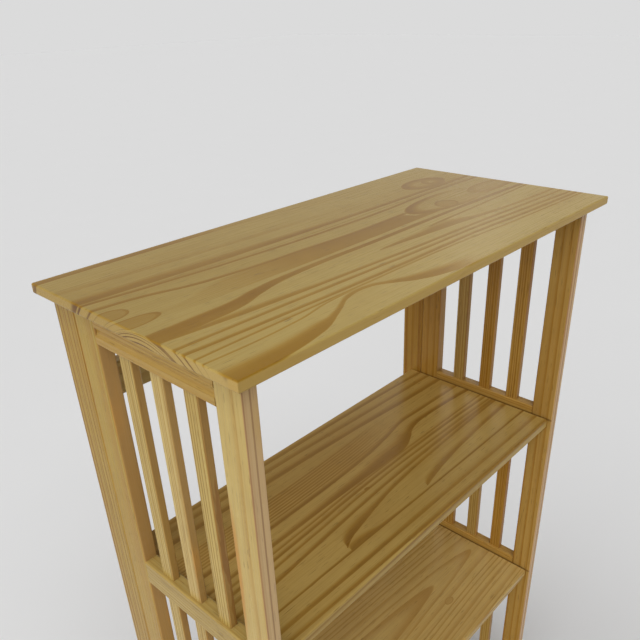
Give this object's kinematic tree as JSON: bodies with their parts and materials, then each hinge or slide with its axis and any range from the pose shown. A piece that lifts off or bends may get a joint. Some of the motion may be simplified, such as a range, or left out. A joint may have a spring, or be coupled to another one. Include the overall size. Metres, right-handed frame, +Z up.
{
  "type": "folding bookcase",
  "caption": "Tall folding bookcase in pine: slatted side frames hinged to a back frame, shelves that fold up, and a top that lifts.",
  "frame": {"origin": "on the floor, under the middle of the top board", "axes": "+Z up, +X along the shelves to the right seen from the front, -Y towards the front"},
  "size_m": [0.711, 0.344, 1.2],
  "materials": {
    "top_pine": "clear lacquer",
    "shelf_pine": "clear lacquer",
    "frame_pine": "clear lacquer",
    "hinge_steel": "zinc plated"
  },
  "bodies": {
    "back_frame": {"back_left_stile": "frame_pine", "back_lower_rail": "frame_pine", "back_middle_rail": "frame_pine", "back_right_stile": "frame_pine", "back_top_rail": "frame_pine", "back_upper_rail": "frame_pine", "rail_hinge_leaves": "hinge_steel", "shelf_pivot_pins": "hinge_steel", "stile_hinge_leaves": "hinge_steel"},
    "left_side": {"left_bottom_rail": "frame_pine", "left_bottom_slat_1": "frame_pine", "left_bottom_slat_2": "frame_pine", "left_bottom_slat_3": "frame_pine", "left_front_post": "frame_pine", "left_hinge_leaves": "hinge_steel", "left_lower_cleat": "frame_pine", "left_middle_cleat": "frame_pine", "left_middle_rail": "frame_pine", "left_middle_slat_1": "frame_pine", "left_middle_slat_2": "frame_pine", "left_middle_slat_3": "frame_pine", "left_rear_post": "frame_pine", "left_top_rail": "frame_pine", "left_top_slat_1": "frame_pine", "left_top_slat_2": "frame_pine", "left_top_slat_3": "frame_pine", "left_upper_cleat": "frame_pine", "left_upper_rail": "frame_pine"},
    "right_side": {"right_bottom_rail": "frame_pine", "right_bottom_slat_1": "frame_pine", "right_bottom_slat_2": "frame_pine", "right_bottom_slat_3": "frame_pine", "right_front_post": "frame_pine", "right_hinge_leaves": "hinge_steel", "right_lower_cleat": "frame_pine", "right_middle_cleat": "frame_pine", "right_middle_rail": "frame_pine", "right_middle_slat_1": "frame_pine", "right_middle_slat_2": "frame_pine", "right_middle_slat_3": "frame_pine", "right_rear_post": "frame_pine", "right_top_rail": "frame_pine", "right_top_slat_1": "frame_pine", "right_top_slat_2": "frame_pine", "right_top_slat_3": "frame_pine", "right_upper_cleat": "frame_pine", "right_upper_rail": "frame_pine"},
    "upper_shelf": {"upper_shelf": "shelf_pine"},
    "middle_shelf": {"middle_shelf": "shelf_pine"},
    "lower_shelf": {"lower_shelf": "shelf_pine"},
    "top": {"top_board": "top_pine", "top_hinge_leaves": "hinge_steel"}
  },
  "joints": [
    {"name": "left_side_fold", "type": "hinge", "parent": "back_frame", "child": "left_side", "pos_m": [-0.317, 0.12375, 0.59], "axis": [0, 0, 1], "range_deg": [0, 0.5]},
    {"name": "right_side_fold", "type": "hinge", "parent": "back_frame", "child": "right_side", "pos_m": [0.317, 0.12375, 0.59], "axis": [0, 0, -1], "range_deg": [0, 0.5]},
    {"name": "upper_shelf_fold", "type": "hinge", "parent": "back_frame", "child": "upper_shelf", "pos_m": [0, 0.136, 0.81075], "axis": [-1, 0, 0], "range_deg": [0, 90]},
    {"name": "middle_shelf_fold", "type": "hinge", "parent": "back_frame", "child": "middle_shelf", "pos_m": [0, 0.136, 0.45775], "axis": [-1, 0, 0], "range_deg": [0, 90]},
    {"name": "lower_shelf_fold", "type": "hinge", "parent": "back_frame", "child": "lower_shelf", "pos_m": [0, 0.136, 0.10475], "axis": [-1, 0, 0], "range_deg": [0, 90]},
    {"name": "top_lift", "type": "hinge", "parent": "back_frame", "child": "top", "pos_m": [0, 0.1695, 1.181], "axis": [-1, 0, 0], "range_deg": [0, 90]}
  ]
}
